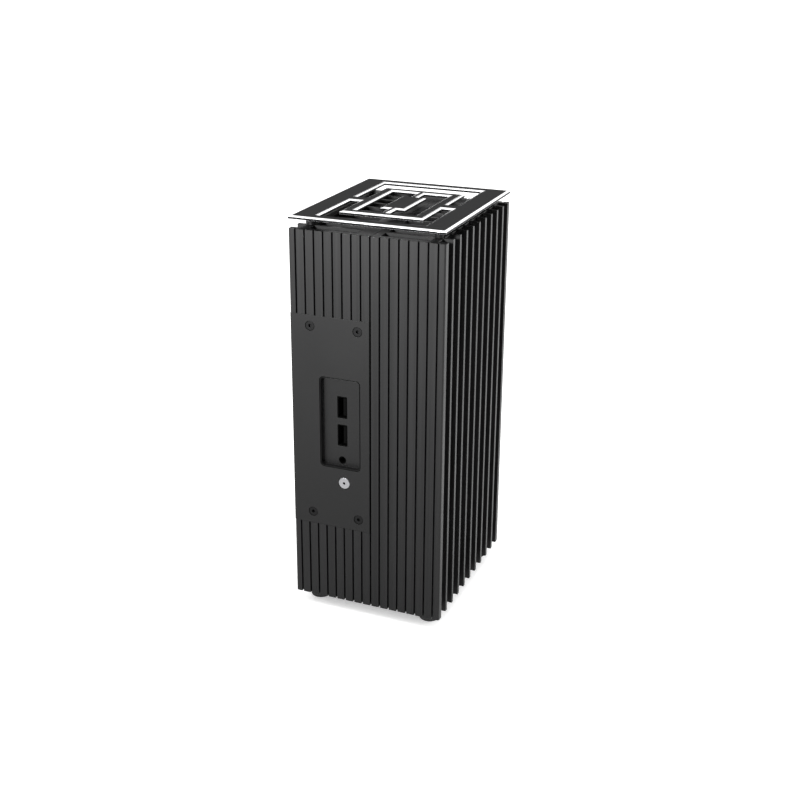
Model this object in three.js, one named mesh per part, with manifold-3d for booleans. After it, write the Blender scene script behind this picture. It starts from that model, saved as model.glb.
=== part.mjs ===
// Fanless mini PC in an upright aluminium heatsink case.
// Units are millimetres, +Z is up, the front faces -Y and +X is to the right seen from the front.
// The origin is on the surface the case stands on, under the centre of the case.
// Heights below are measured from the underside of the housings, and the whole case is
// lifted onto its feet at the end.
import * as THREE from 'three';
import { mergeVertices } from 'three/addons/utils/BufferGeometryUtils.js';
import Module from 'manifold-3d';

const wasm = await Module();
wasm.setup();

// ---------------------------------------------------------------- driving dimensions
const gap = 0.3; // clearance between touching pieces

const caseWidth = 96.2;
const caseDepth = 114.7;
const footHeight = 6.9;
const housingTop = 235.3;
const plateGap = 5.6; // air gap between the housings and the top plate
const plateThick = 1.8;

const panelThick = 4.5; // front and rear walls of the housings
const wallInner = 37; // side wall, from the centre plane
const wallOuter = 42;
const spineHalf = 7.5; // solid core between the two halves
const seamX = 2.92; // the halves part in the bottom of a front groove
const cornerRadius = 1;

const finCount = 9;
const finThick = 2.5;
const finPitch = 11.025;
const firstFinY = (-finPitch * (finCount - 1)) / 2;

const ribPitch = 5.84;
const grooveWidth = 1.1;
const grooveDepth = 2;
const groovesPerSide = 8;

const bayBottom = 50.2; // board bay in the left housing
const bayTop = 185;

const boardX = -13.3; // component face of the mainboard
const boardThick = 1.6;
const boardSize = 101.6;
const boardFront = -boardSize / 2;
const boardBottom = 67.2;

const portX = -16.7; // centre line of the front sockets
const floorThick = 0.7; // panel floor left under the recess
const shellWall = 0.35;

const buttonX = -14.3;
const buttonZ = 80.7;
const buttonRadius = 3.65;

const halfWidth = caseWidth / 2;
const halfDepth = caseDepth / 2;
const panelInner = halfDepth - panelThick; // inner face of the front and rear walls
const plateBottom = housingTop + plateGap;
const plateTop = plateBottom + plateThick;
const boardTop = boardBottom + boardSize;
const boardRear = boardFront + boardSize;
const portFace = boardX - gap; // side of the port bodies that faces the board

// ---------------------------------------------------------------- materials
function finish(color, roughness, metalness) {
  return new THREE.MeshStandardMaterial({ color, roughness, metalness });
}
const blackAnodised = finish(0x1c1c1e, 0.45, 0.8);
const plateFinish = finish(0x2a2a2c, 0.4, 0.8);
const blackSteel = finish(0x18181a, 0.4, 0.9);
const brightSteel = finish(0xb8babd, 0.3, 1);
const silverButton = finish(0xc9cacc, 0.35, 0.9);
const blackPlastic = finish(0x141414, 0.6, 0);
const rubber = finish(0x111111, 0.9, 0);
const boardGreen = finish(0x123a2a, 0.55, 0);
const copper = finish(0xb4714a, 0.35, 1);
const chipPlastic = finish(0x202124, 0.5, 0);

// ---------------------------------------------------------------- shape helpers
const mergeDistance = 1e-4;

// A copy that holds positions only, so that corners shared by faces can be merged.
function bareGeometry(geometry) {
  const bare = geometry.clone();
  bare.deleteAttribute('normal');
  bare.deleteAttribute('uv');
  return bare;
}

function toSolid(geometry) {
  const merged = mergeVertices(bareGeometry(geometry), mergeDistance);
  const vertProperties = new Float32Array(merged.attributes.position.array);
  const triVerts = new Uint32Array(merged.index.array);
  return new wasm.Manifold(new wasm.Mesh({ numProp: 3, vertProperties, triVerts }));
}

function toGeometry(solid) {
  const mesh = solid.getMesh();
  const geometry = new THREE.BufferGeometry();
  geometry.setAttribute('position', new THREE.BufferAttribute(mesh.vertProperties, 3));
  geometry.setIndex(new THREE.BufferAttribute(mesh.triVerts, 1));
  geometry.computeVertexNormals();
  return geometry;
}

function cut(base, ...tools) {
  let solid = toSolid(base);
  for (const tool of tools) {
    solid = solid.subtract(toSolid(tool));
  }
  return toGeometry(solid);
}

function join(first, ...others) {
  let solid = toSolid(first);
  for (const other of others) {
    solid = solid.add(toSolid(other));
  }
  return toGeometry(solid);
}

function box([x0, x1], [y0, y1], [z0, z1]) {
  const geometry = new THREE.BoxGeometry(x1 - x0, y1 - y0, z1 - z0);
  return geometry.translate((x0 + x1) / 2, (y0 + y1) / 2, (z0 + z1) / 2);
}

// A solid of revolution round +Z from [radius, height] points that start and end on the axis.
function turned(profile, segments = 12) {
  const points = profile.map(([radius, height]) => new THREE.Vector2(radius, height));
  return new THREE.LatheGeometry(points, segments).rotateX(Math.PI / 2);
}

function rod(radius, from, to, segments = 12) {
  return turned([[0, from], [radius, from], [radius, to], [0, to]], segments);
}

// Turn a shape built along +Z so that +Z points along the named direction.
function aim(geometry, direction) {
  if (direction === '+x') return geometry.rotateY(Math.PI / 2);
  if (direction === '-x') return geometry.rotateY(-Math.PI / 2);
  if (direction === '+y') return geometry.rotateX(-Math.PI / 2);
  if (direction === '-y') return geometry.rotateX(Math.PI / 2);
  return geometry;
}

function rectangleShape([x0, x1], [y0, y1]) {
  return new THREE.Shape([
    new THREE.Vector2(x0, y0),
    new THREE.Vector2(x1, y0),
    new THREE.Vector2(x1, y1),
    new THREE.Vector2(x0, y1),
  ]);
}

function extrudeUp(shape, z0, z1, curveSegments = 3) {
  const settings = { depth: z1 - z0, bevelEnabled: false, curveSegments };
  return new THREE.ExtrudeGeometry(shape, settings).translate(0, 0, z0);
}

function roundedShape([x0, x1], [y0, y1], radius) {
  const shape = new THREE.Shape();
  shape.moveTo(x0 + radius, y0);
  shape.lineTo(x1 - radius, y0);
  shape.absarc(x1 - radius, y0 + radius, radius, -Math.PI / 2, 0);
  shape.lineTo(x1, y1 - radius);
  shape.absarc(x1 - radius, y1 - radius, radius, 0, Math.PI / 2);
  shape.lineTo(x0 + radius, y1);
  shape.absarc(x0 + radius, y1 - radius, radius, Math.PI / 2, Math.PI);
  shape.lineTo(x0, y0 + radius);
  shape.absarc(x0 + radius, y0 + radius, radius, Math.PI, Math.PI * 1.5);
  return shape;
}

// A block with rounded corners seen from the front, running from y0 to y1.
function frontBlock([x0, x1], [z0, z1], [y0, y1], radius) {
  const block = extrudeUp(roundedShape([x0, x1], [z0, z1], radius), -y1, -y0);
  return block.rotateX(Math.PI / 2);
}

const caseGroup = new THREE.Group();

function add(name, geometry, material, x = 0, y = 0, z = 0) {
  const mesh = new THREE.Mesh(geometry, material);
  mesh.name = name;
  mesh.position.set(x, y, z);
  caseGroup.add(mesh);
}

// ---------------------------------------------------------------- fasteners
// A countersunk screw with its head's top at height 0 and its shank pointing down.
function countersunkScrew({ shank, head, length }) {
  const headDepth = head - shank + 0.3;
  const blank = turned([
    [0, -length],
    [shank, -length],
    [shank, -headDepth],
    [head, -0.3],
    [head, 0],
    [0, 0],
  ]);
  const socket = rod(shank * 0.75, -headDepth, 1, 6);
  return cut(blank, socket);
}

// The space that the same screw needs, with clearance all round.
function countersunkHole({ shank, head, length }) {
  return turned([
    [0, -length - 0.5],
    [shank + gap, -length - 0.5],
    [shank + gap, -(head - shank) - 0.7],
    [head + gap, -0.6],
    [head + gap, 0.4],
    [0, 0.4],
  ]);
}

// The part of that space below the head.
function tappedHole({ shank, length }) {
  return rod(shank + gap, -length - 0.5, -3, 10);
}

function panScrew({ shank, head, headHeight, length }) {
  const blank = turned([
    [0, -length],
    [shank, -length],
    [shank, 0],
    [head, 0],
    [head, headHeight * 0.55],
    [head * 0.7, headHeight],
    [0, headHeight],
  ], 10);
  const socket = rod(shank * 0.75, headHeight * 0.4, headHeight + 1, 6);
  return cut(blank, socket);
}

// ---------------------------------------------------------------- screw positions
const m3 = { shank: 1.5, head: 2.8, length: 9 };
const m4 = { shank: 2, head: 3.7, length: 13.8 };
const panelScrewXs = { outer: -35.5, inner: -5.1 };
const panelScrewZs = { upper: 178.2, lower: 57.8 };
const spineScrewYs = { front: -44, rear: 44 };
const spineScrewZs = { upper: 177.7, lower: 57.7 };
const boardScrewYs = { front: boardFront + 6, rear: boardRear - 6 };
const boardScrewZs = { upper: boardTop - 6, lower: boardBottom + 6 };
const cornerXs = { left: -39.5, right: 39.5 };
const cornerYs = { front: -44.4, rear: 44.4 };
const bracketScrewZs = { upper: 174.7, lower: 60.7 };
const boardScrew = { shank: 1.25, head: 2.4, headHeight: 1.6, length: 7 };
const boardPostRadius = 3;
const standoffSpigot = { radius: 1.5, depth: 5 };
const footScrew = { shank: 1.5, head: 2.8, headHeight: 1.2, length: 11 };
const driveScrew = { shank: 1.5, head: 2.8, headHeight: 1.6, length: 5 };
const bracketScrew = { ...driveScrew, length: 4.6 };

function forEachPair(first, second, action) {
  for (const [firstName, firstValue] of Object.entries(first)) {
    for (const [secondName, secondValue] of Object.entries(second)) {
      action(`${firstName}_${secondName}`, firstValue, secondValue);
    }
  }
}

// The same hole at each panel screw, in the outer face that looks along direction.
function panelHoles(direction, hole) {
  const holes = [];
  const face = direction === '-y' ? -halfDepth : halfDepth;
  forEachPair(panelScrewXs, panelScrewZs, (name, x, z) => {
    holes.push(aim(hole.clone(), direction).translate(x, face, z));
  });
  return holes;
}

function spineHoles(hole) {
  const holes = [];
  forEachPair(spineScrewYs, spineScrewZs, (name, y, z) => {
    holes.push(aim(hole.clone(), '-x').translate(-spineHalf, y, z));
  });
  return holes;
}

// Bores in the top and bottom ends of the side wall, for the standoffs and the foot screws.
function wallEndHoles(x) {
  const holes = [];
  for (const y of Object.values(cornerYs)) {
    const upperFloor = housingTop - standoffSpigot.depth - 0.5;
    const upper = rod(standoffSpigot.radius + gap, upperFloor, housingTop + 1, 10);
    const lower = rod(footScrew.shank + gap, -1, 9, 10);
    holes.push(upper.translate(x, y, 0), lower.translate(x, y, 0));
  }
  return holes;
}

// ---------------------------------------------------------------- finned housings
// Plan outline of one half, drawn with its side fins towards +X.
// seamEdge is where this half stops at the seam, and grooveXs are its front grooves.
function housingOutline(seamEdge, seamFace, grooveXs) {
  const half = grooveWidth / 2;
  const grooveFloor = -halfDepth + grooveDepth;
  const front = [[seamEdge, grooveFloor], [seamFace, grooveFloor], [seamFace, -halfDepth]];
  for (const x of grooveXs) {
    front.push([x - half, -halfDepth], [x - half, grooveFloor]);
    front.push([x + half, grooveFloor], [x + half, -halfDepth]);
  }
  const side = [];
  for (let step = 0; step <= 3; step += 1) {
    const angle = (step / 3) * (Math.PI / 2);
    side.push([
      halfWidth - cornerRadius + cornerRadius * Math.sin(angle),
      -halfDepth + cornerRadius - cornerRadius * Math.cos(angle),
    ]);
  }
  side.push([halfWidth, -panelInner], [wallOuter, -panelInner]);
  for (let fin = 0; fin < finCount; fin += 1) {
    const y = firstFinY + fin * finPitch;
    side.push([wallOuter, y - finThick / 2], [halfWidth, y - finThick / 2]);
    side.push([halfWidth, y + finThick / 2], [wallOuter, y + finThick / 2]);
  }
  side.push([wallOuter, panelInner], [halfWidth, panelInner]);
  for (let step = 0; step <= 3; step += 1) {
    const angle = (step / 3) * (Math.PI / 2);
    side.push([
      halfWidth - cornerRadius + cornerRadius * Math.cos(angle),
      halfDepth - cornerRadius + cornerRadius * Math.sin(angle),
    ]);
  }
  const rear = front.map(([x, y]) => [x, -y]).reverse();
  return [...front, ...side, ...rear];
}

// The chimneys between the inner fins, from the spine to the side wall.
function chimneyRanges() {
  const ranges = [];
  let start = -panelInner;
  for (let fin = 0; fin < finCount; fin += 1) {
    const y = firstFinY + fin * finPitch;
    ranges.push([start, y - finThick / 2]);
    start = y + finThick / 2;
  }
  ranges.push([start, panelInner]);
  return ranges;
}

function housing(seamEdge, seamFace, grooveXs) {
  const outline = housingOutline(seamEdge, seamFace, grooveXs);
  const shape = new THREE.Shape(outline.map(([x, y]) => new THREE.Vector2(x, y)));
  for (const range of chimneyRanges()) {
    shape.holes.push(rectangleShape([spineHalf, wallInner], range));
  }
  return extrudeUp(shape, 0, housingTop);
}

// The mirror image of a shape across the plane x = 0, with its faces turned out again.
function mirrorX(geometry) {
  const mirrored = mergeVertices(bareGeometry(geometry), mergeDistance);
  mirrored.scale(-1, 1, 1);
  const { index } = mirrored;
  for (let corner = 0; corner < index.count; corner += 3) {
    const second = index.getX(corner + 1);
    index.setX(corner + 1, index.getX(corner + 2));
    index.setX(corner + 2, second);
  }
  return mirrored;
}

function rightHousing() {
  const grooveXs = [];
  for (let rib = 1; rib < groovesPerSide; rib += 1) {
    grooveXs.push(seamX + rib * ribPitch);
  }
  const body = housing(seamX + gap / 2, seamX + grooveWidth / 2, grooveXs);
  return cut(body, ...spineHoles(tappedHole(m4)), ...wallEndHoles(cornerXs.right));
}

// Posts on the core's bay side that carry the mainboard.
function boardPosts() {
  const posts = [];
  const reach = boardX + boardThick + gap;
  forEachPair(boardScrewYs, boardScrewZs, (name, y, z) => {
    posts.push(aim(rod(boardPostRadius, reach, -spineHalf + 1), '+x').translate(0, y, z));
  });
  return posts;
}

function boardPostHoles() {
  const holes = [];
  forEachPair(boardScrewYs, boardScrewZs, (name, y, z) => {
    const hole = rod(boardScrew.shank + gap, boardX - 1, boardX + boardScrew.length + 0.8);
    holes.push(aim(hole, '+x').translate(0, y, z));
  });
  return holes;
}

function leftHousing() {
  const grooveXs = [];
  for (let rib = 0; rib < groovesPerSide; rib += 1) {
    grooveXs.push(seamX + rib * ribPitch);
  }
  const body = mirrorX(housing(-seamX + gap / 2, -seamX + grooveWidth / 2, grooveXs));
  const bay = box([-wallInner, -spineHalf], [-panelInner - 1, panelInner + 1], [bayBottom, bayTop]);
  const doorway = [-halfWidth - 1, seamX + 1];
  const frontDoor = box(doorway, [-halfDepth - 1, -panelInner], [bayBottom, bayTop]);
  const rearDoor = box(doorway, [panelInner, halfDepth + 1], [bayBottom, bayTop]);
  const opened = cut(body, bay, frontDoor, rearDoor);
  const railX = [-wallInner - 1, -wallInner + 5];
  const frontRail = box(railX, [-panelInner, -panelInner + 6], [bayBottom - 1, bayTop + 1]);
  const rearRail = box(railX, [panelInner - 6, panelInner], [bayBottom - 1, bayTop + 1]);
  const fitted = join(opened, frontRail, rearRail, ...boardPosts());
  const bracketHoles = [];
  for (const z of Object.values(bracketScrewZs)) {
    const hole = rod(m3.shank + gap, -wallInner - 4, -wallInner + 1);
    bracketHoles.push(aim(hole, '+x').translate(0, 0, z));
  }
  return cut(
    fitted,
    ...panelHoles('-y', tappedHole(m3)),
    ...panelHoles('+y', tappedHole(m3)),
    ...spineHoles(countersunkHole(m4)),
    ...boardPostHoles(),
    ...bracketHoles,
    ...wallEndHoles(cornerXs.left),
  );
}

add('left_housing', leftHousing(), blackAnodised);
add('right_housing', rightHousing(), blackAnodised);

// ---------------------------------------------------------------- top plate
const chamferWidth = 1.5;
const chamferHeight = 0.6;
const slotHalfX = 33.95;
const slotHalfY = 49.9;
const sideArm = 9.45;
const endArm = 16;
const bridgeHalf = 3.65;
const ringWidth = 4.6;
const centreBarHalf = 1;
const blockHalfX = 6.3;
const blockHalfY = 15.65;

function slotOutlines() {
  const innerX = slotHalfX - sideArm;
  const innerY = slotHalfY - endArm;
  const rearSlot = [
    [-slotHalfX, bridgeHalf],
    [-innerX, bridgeHalf],
    [-innerX, innerY],
    [innerX, innerY],
    [innerX, bridgeHalf],
    [slotHalfX, bridgeHalf],
    [slotHalfX, slotHalfY],
    [-slotHalfX, slotHalfY],
  ];
  const cShapeX = innerX - ringWidth;
  const cShapeY = innerY - ringWidth;
  const rightC = [
    [centreBarHalf, -cShapeY],
    [cShapeX, -cShapeY],
    [cShapeX, cShapeY],
    [centreBarHalf, cShapeY],
    [centreBarHalf, blockHalfY],
    [blockHalfX, blockHalfY],
    [blockHalfX, -blockHalfY],
    [centreBarHalf, -blockHalfY],
  ];
  const frontSlot = rearSlot.map(([x, y]) => [x, -y]).reverse();
  const leftC = rightC.map(([x, y]) => [-x, y]).reverse();
  return [rearSlot, frontSlot, rightC, leftC];
}

// Move every side of an outline with square corners inwards by a distance.
function inset(outline, distance) {
  const count = outline.length;
  return outline.map(([x, y], index) => {
    const [beforeX, beforeY] = outline[(index + count - 1) % count];
    const [afterX, afterY] = outline[(index + 1) % count];
    const arriving = [Math.sign(x - beforeX), Math.sign(y - beforeY)];
    const leaving = [Math.sign(afterX - x), Math.sign(afterY - y)];
    const moveX = -(arriving[1] + leaving[1]) * distance;
    const moveY = (arriving[0] + leaving[0]) * distance;
    return [x + moveX, y + moveY];
  });
}

// A prism whose sides slope from one outline to another with the same number of points.
function loft(lower, upper, z0, z1) {
  const count = lower.length;
  const flat = lower.map(([x, y]) => new THREE.Vector2(x, y));
  const triangles = THREE.ShapeUtils.triangulateShape(flat, []);
  const positions = [];
  for (const [x, y] of lower) positions.push(x, y, z0);
  for (const [x, y] of upper) positions.push(x, y, z1);
  const faces = [];
  for (const [a, b, c] of triangles) {
    faces.push(a, c, b, count + a, count + b, count + c);
  }
  for (let index = 0; index < count; index += 1) {
    const next = (index + 1) % count;
    faces.push(index, next, count + next, index, count + next, count + index);
  }
  const geometry = new THREE.BufferGeometry();
  geometry.setAttribute('position', new THREE.Float32BufferAttribute(positions, 3));
  geometry.setIndex(faces);
  return geometry;
}

function topPlate() {
  const outer = [
    [-halfWidth, -halfDepth],
    [halfWidth, -halfDepth],
    [halfWidth, halfDepth],
    [-halfWidth, halfDepth],
  ];
  const edge = plateTop - chamferHeight;
  const lower = loft(outer, outer, plateBottom, edge);
  const upper = loft(outer, inset(outer, chamferWidth), edge, plateTop);
  const tools = [];
  for (const slot of slotOutlines()) {
    const wall = inset(slot, chamferWidth);
    const slope = chamferWidth / chamferHeight;
    tools.push(loft(wall, wall, plateBottom - 1, edge + 0.01));
    tools.push(loft(wall, inset(slot, -0.5 * slope), edge, plateTop + 0.5 * chamferHeight));
  }
  for (const pocketX of Object.values(cornerXs)) {
    for (const pocketY of Object.values(cornerYs)) {
      const pocket = rod(standoffSpigot.radius + gap, plateBottom - 1, plateBottom + 1);
      tools.push(pocket.translate(pocketX, pocketY, 0));
    }
  }
  return cut(join(lower, upper), ...tools);
}

function topStandoff() {
  return turned([
    [0, housingTop - standoffSpigot.depth],
    [standoffSpigot.radius, housingTop - standoffSpigot.depth],
    [standoffSpigot.radius, housingTop + gap],
    [2.5, housingTop + gap],
    [2.5, plateBottom - gap],
    [standoffSpigot.radius, plateBottom - gap],
    [standoffSpigot.radius, plateBottom + 0.7],
    [0, plateBottom + 0.7],
  ]);
}

add('top_plate', topPlate(), plateFinish);
forEachPair(cornerYs, cornerXs, (name, y, x) => {
  add(`top_standoff_${name}`, topStandoff(), blackSteel, x, y);
});

// ---------------------------------------------------------------- feet
const footX = 37.2;
const footRadius = 6.4;
const footEdge = 0.6; // bevel round the underside
const footTaper = 0.4;
const footSeat = -footHeight + 1.9; // where the screw's head presses

function foot() {
  const blank = turned([
    [0, -footHeight],
    [footRadius - footEdge, -footHeight],
    [footRadius, -footHeight + footEdge],
    [footRadius - footTaper, -gap],
    [0, -gap],
  ], 20);
  const recess = rod(footScrew.head + 0.5, -footHeight - 1, footSeat + gap);
  const bore = rod(footScrew.shank + gap, footSeat, 1);
  const shift = cornerXs.right - footX;
  return cut(blank, recess.translate(shift, 0, 0), bore.translate(shift, 0, 0));
}

forEachPair(cornerYs, cornerXs, (name, y, x) => {
  const side = Math.sign(x);
  const shape = side > 0 ? foot() : mirrorX(foot());
  add(`foot_${name}`, shape, rubber, side * footX, y);
  const screw = panScrew(footScrew).rotateX(Math.PI);
  add(`foot_screw_${name}`, screw, blackSteel, x, y, footSeat);
});

// ---------------------------------------------------------------- front and rear panels
const doorZ = [bayBottom + gap, bayTop - gap];
const doorX = [-halfWidth, seamX - grooveWidth / 2];
const doorThick = panelThick - gap;
const frontRecess = { x: [-29.3, -4.2], z: [90.5, 147.2], radius: 2 };
const rearRecess = { x: [-31.5, -8.8], z: [76.7, 161.7], radius: 2 };
const frontFloor = -panelInner - gap - floorThick;
const rearFloor = panelInner + gap + floorThick;
const usbShell = { thick: 5.8, tall: 13.3, depth: 14 };
const frontUsbZs = { upper: 128.4, lower: 110.35 };
const jack = { x: -16.9, z: 94.2, noseRadius: 2.1, boreRadius: 1.75, bodyHalf: 3, depth: 11.25 };
const usbStack = { x: [portFace - 15.6, portFace], z: [92.7, 107.2], depth: 17 };
const lanBody = { x: [portFace - 13.5, portFace], z: [110.2, 126.2], depth: 20 };
const displayBody = { x: [portFace - 6, portFace], z: [130.2, 145.2], depth: 11.5 };
const dcBody = { x: [portFace - 11, portFace], z: [148.7, 157.7], depth: 13.5 };
const usbCBody = { x: [portFace - 3.3, portFace], z: [81.2, 90.2], depth: 8 };

function grown([low, high], by) {
  return [low - by, high + by];
}

function frontPanel() {
  const face = -halfDepth;
  const back = face + doorThick;
  const blank = extrudeUp(roundedShape(doorX, [face, back], 0.35), ...doorZ, 2);
  const recess = frontBlock(frontRecess.x, frontRecess.z, [face - 1, frontFloor], frontRecess.radius);
  const tools = [recess, ...panelHoles('-y', countersunkHole(m3))];
  for (const z of Object.values(frontUsbZs)) {
    const x = [portX - usbShell.thick / 2, portX + usbShell.thick / 2];
    const tall = [z - usbShell.tall / 2, z + usbShell.tall / 2];
    tools.push(frontBlock(grown(x, gap), grown(tall, gap), [frontFloor - 1, back + 1], 0.5));
  }
  const jackHole = aim(rod(jack.noseRadius + gap, -1 - back, 1 - frontFloor, 24), '-y');
  tools.push(jackHole.translate(jack.x, 0, jack.z));
  const capHole = aim(rod(buttonRadius + gap, -back, 1 - face, 32), '-y');
  const collarHole = aim(rod(4.9, -1 - back, -face - 1.55, 24), '-y');
  tools.push(capHole.translate(buttonX, 0, buttonZ), collarHole.translate(buttonX, 0, buttonZ));
  return cut(blank, ...tools);
}

function rearPanel() {
  const face = halfDepth;
  const back = face - doorThick;
  const blank = extrudeUp(roundedShape(doorX, [back, face], 0.35), ...doorZ, 2);
  const recess = frontBlock(rearRecess.x, rearRecess.z, [rearFloor, face + 1], rearRecess.radius);
  const tools = [recess, ...panelHoles('+y', countersunkHole(m3))];
  for (const body of [usbStack, lanBody, displayBody, dcBody, usbCBody]) {
    tools.push(frontBlock(grown(body.x, gap), grown(body.z, gap), [back - 1, rearFloor + 1], 0.4));
  }
  return cut(blank, ...tools);
}

add('front_io_panel', frontPanel(), blackAnodised);
add('rear_io_panel', rearPanel(), blackAnodised);

forEachPair(panelScrewXs, panelScrewZs, (name, x, z) => {
  const frontScrew = aim(countersunkScrew(m3), '-y');
  const rearScrew = aim(countersunkScrew(m3), '+y');
  add(`front_screw_${name}`, frontScrew, blackSteel, x, -halfDepth + 0.2, z);
  add(`rear_screw_${name}`, rearScrew, blackSteel, x, halfDepth - 0.2, z);
});
forEachPair(spineScrewYs, spineScrewZs, (name, y, z) => {
  const screw = aim(countersunkScrew(m4), '-x');
  add(`core_screw_${name}`, screw, blackSteel, -spineHalf, y, z);
});

// ---------------------------------------------------------------- power button
const stemRadius = 1.5;
const collarRadius = 4.6;
const capFront = -halfDepth - 0.2;
const collarFront = -halfDepth + 1.85;
const collarBack = collarFront + 0.8;
const stemEnd = -panelInner + 0.75;

function powerButton() {
  const blank = turned([
    [0, -stemEnd],
    [stemRadius, -stemEnd],
    [stemRadius, -collarBack],
    [collarRadius, -collarBack],
    [collarRadius, -collarFront],
    [buttonRadius, -collarFront],
    [buttonRadius, -capFront - 0.3],
    [buttonRadius - 0.3, -capFront],
    [0, -capFront],
  ], 32);
  const dimple = rod(0.5, -capFront - 0.5, -capFront + 1, 12);
  return aim(cut(blank, dimple), '-y');
}

function buttonRetainer() {
  const back = panelInner + gap;
  const ring = rod(collarRadius, back, back + 0.75, 24);
  const bore = rod(stemRadius + gap, back - 1, back + 1.5, 16);
  return aim(cut(ring, bore), '-y');
}

const switchX = [portFace - 3.2, portFace];
const plungerX = portFace - 1.6;

function powerSwitch() {
  const body = box(switchX, [boardFront, boardFront + 4], [buttonZ - 3, buttonZ + 3]);
  const bore = aim(rod(1.3, -boardFront - 1.6, -boardFront + 1, 12), '-y');
  return cut(body, bore.translate(plungerX, 0, buttonZ));
}

add('power_button', powerButton(), silverButton, buttonX, 0, buttonZ);
add('button_retainer', buttonRetainer(), blackPlastic, buttonX, 0, buttonZ);
add('power_switch', powerSwitch(), blackPlastic);
const plunger = aim(rod(1, -boardFront - 0.7, -stemEnd - gap, 12), '-y');
add('switch_plunger', plunger, brightSteel, plungerX, 0, buttonZ);

// ---------------------------------------------------------------- mainboard and cooling
const ssd = { y: [-38, 21.7], z: [100.7, 122.7] };
const processorY = [-6, 19];
const processorZ = [102.7, 130.7];
const dieY = [0, 13];
const dieZ = [109.7, 123.7];
const spreaderY = [-16, 30];
const spreaderZ = [92.7, 140.7];

function mainboard() {
  const blank = box([boardX, boardX + boardThick], [boardFront, boardRear], [boardBottom, boardTop]);
  const holes = [];
  forEachPair(boardScrewYs, boardScrewZs, (name, y, z) => {
    holes.push(aim(rod(boardScrew.shank + gap, boardX - 1, boardX + 3), '+x').translate(0, y, z));
  });
  return cut(blank, ...holes);
}

add('mainboard', mainboard(), boardGreen);
forEachPair(boardScrewYs, boardScrewZs, (name, y, z) => {
  const screw = aim(panScrew(boardScrew), '-x');
  add(`board_screw_${name}`, screw, brightSteel, boardX - gap, y, z);
});

const chipFace = boardX + boardThick + gap;
const processor = join(
  box([chipFace, chipFace + 0.8], processorY, processorZ),
  box([chipFace + 0.7, chipFace + 1.3], dieY, dieZ),
);
add('processor', processor, chipPlastic);
const spreader = box([chipFace + 1.6, -spineHalf - gap], spreaderY, spreaderZ);
add('heat_spreader', spreader, copper);

// ---------------------------------------------------------------- sockets
// A sheet-metal socket shell with its mouth at mouthY and a contact tongue inside.
function socketShell([x0, x1], [z0, z1], mouthY, depth, tongue) {
  const inwards = mouthY < 0 ? 1 : -1;
  const endY = mouthY + inwards * depth;
  const orderY = (a, b) => [Math.min(a, b), Math.max(a, b)];
  const shell = box([x0, x1], orderY(mouthY, endY), [z0, z1]);
  const hollowY = orderY(mouthY - inwards, endY - inwards * 1.5);
  const hollow = box(grown([x0, x1], -shellWall), hollowY, grown([z0, z1], -shellWall));
  const tongueY = orderY(mouthY + inwards * 1.2, endY - inwards);
  return join(cut(shell, hollow), box(tongue.x, tongueY, tongue.z));
}

const frontMouth = frontFloor + 0.1;
const rearMouth = rearFloor - 0.1;

for (const [name, z] of Object.entries(frontUsbZs)) {
  const x = [portX - usbShell.thick / 2, portX + usbShell.thick / 2];
  const tall = [z - usbShell.tall / 2, z + usbShell.tall / 2];
  const tongue = { x: [portX + 0.2, portX + 2], z: grown(tall, -1.2) };
  add(`front_usb_${name}`, socketShell(x, tall, frontMouth, usbShell.depth, tongue), blackSteel);
}

function audioJack() {
  const bodyX = [jack.x - jack.bodyHalf, portFace];
  const bodyZ = [jack.z - jack.bodyHalf, jack.z + jack.bodyHalf];
  const body = box(bodyX, [-panelInner, -panelInner + jack.depth], bodyZ);
  const nose = aim(rod(jack.noseRadius, panelInner - 0.25, -frontMouth, 24), '-y');
  const boreEnd = panelInner - jack.depth + 1.5;
  const bore = aim(rod(jack.boreRadius, boreEnd, -frontMouth + 1, 24), '-y');
  nose.translate(jack.x, 0, jack.z);
  bore.translate(jack.x, 0, jack.z);
  return cut(join(body, nose), bore);
}

add('audio_jack', audioJack(), blackPlastic);

function rearUsbStack() {
  const { x, z, depth } = usbStack;
  const solid = box(x, [rearMouth - depth, rearMouth], z);
  const tools = [];
  const tongues = [];
  for (const offset of [0.7, 9.1]) {
    const mouthX = [x[0] + offset, x[0] + offset + 5.1];
    const tongueX = [mouthX[0] + 3, mouthX[0] + 4.8];
    const tongueY = [rearMouth - 13.5, rearMouth - 1.2];
    tools.push(box(mouthX, [rearMouth - 13, rearMouth + 1], grown(z, -0.9)));
    tongues.push(box(tongueX, tongueY, grown(z, -1.8)));
  }
  return join(cut(solid, ...tools), ...tongues);
}

function lanSocket() {
  const { x, z, depth } = lanBody;
  const solid = box(x, [rearMouth - depth, rearMouth], z);
  const cavity = box([x[0] + 1.2, x[0] + 9.2], [rearMouth - 14, rearMouth + 1], grown(z, -2.1));
  const latch = box([x[0] + 9.1, x[0] + 11.8], [rearMouth - 10, rearMouth + 1], grown(z, -5));
  return cut(solid, cavity, latch);
}

function dcSocket() {
  const { x, z, depth } = dcBody;
  const centreX = (x[0] + x[1]) / 2;
  const centreZ = (z[0] + z[1]) / 2;
  const solid = box(x, [rearMouth - depth, rearMouth], z);
  const bore = aim(rod(3.2, rearMouth - 10, rearMouth + 1, 20), '+y');
  const pin = aim(rod(1.2, rearMouth - 11, rearMouth - 1.5, 12), '+y');
  bore.translate(centreX, 0, centreZ);
  pin.translate(centreX, 0, centreZ);
  return join(cut(solid, bore), pin);
}

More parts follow.
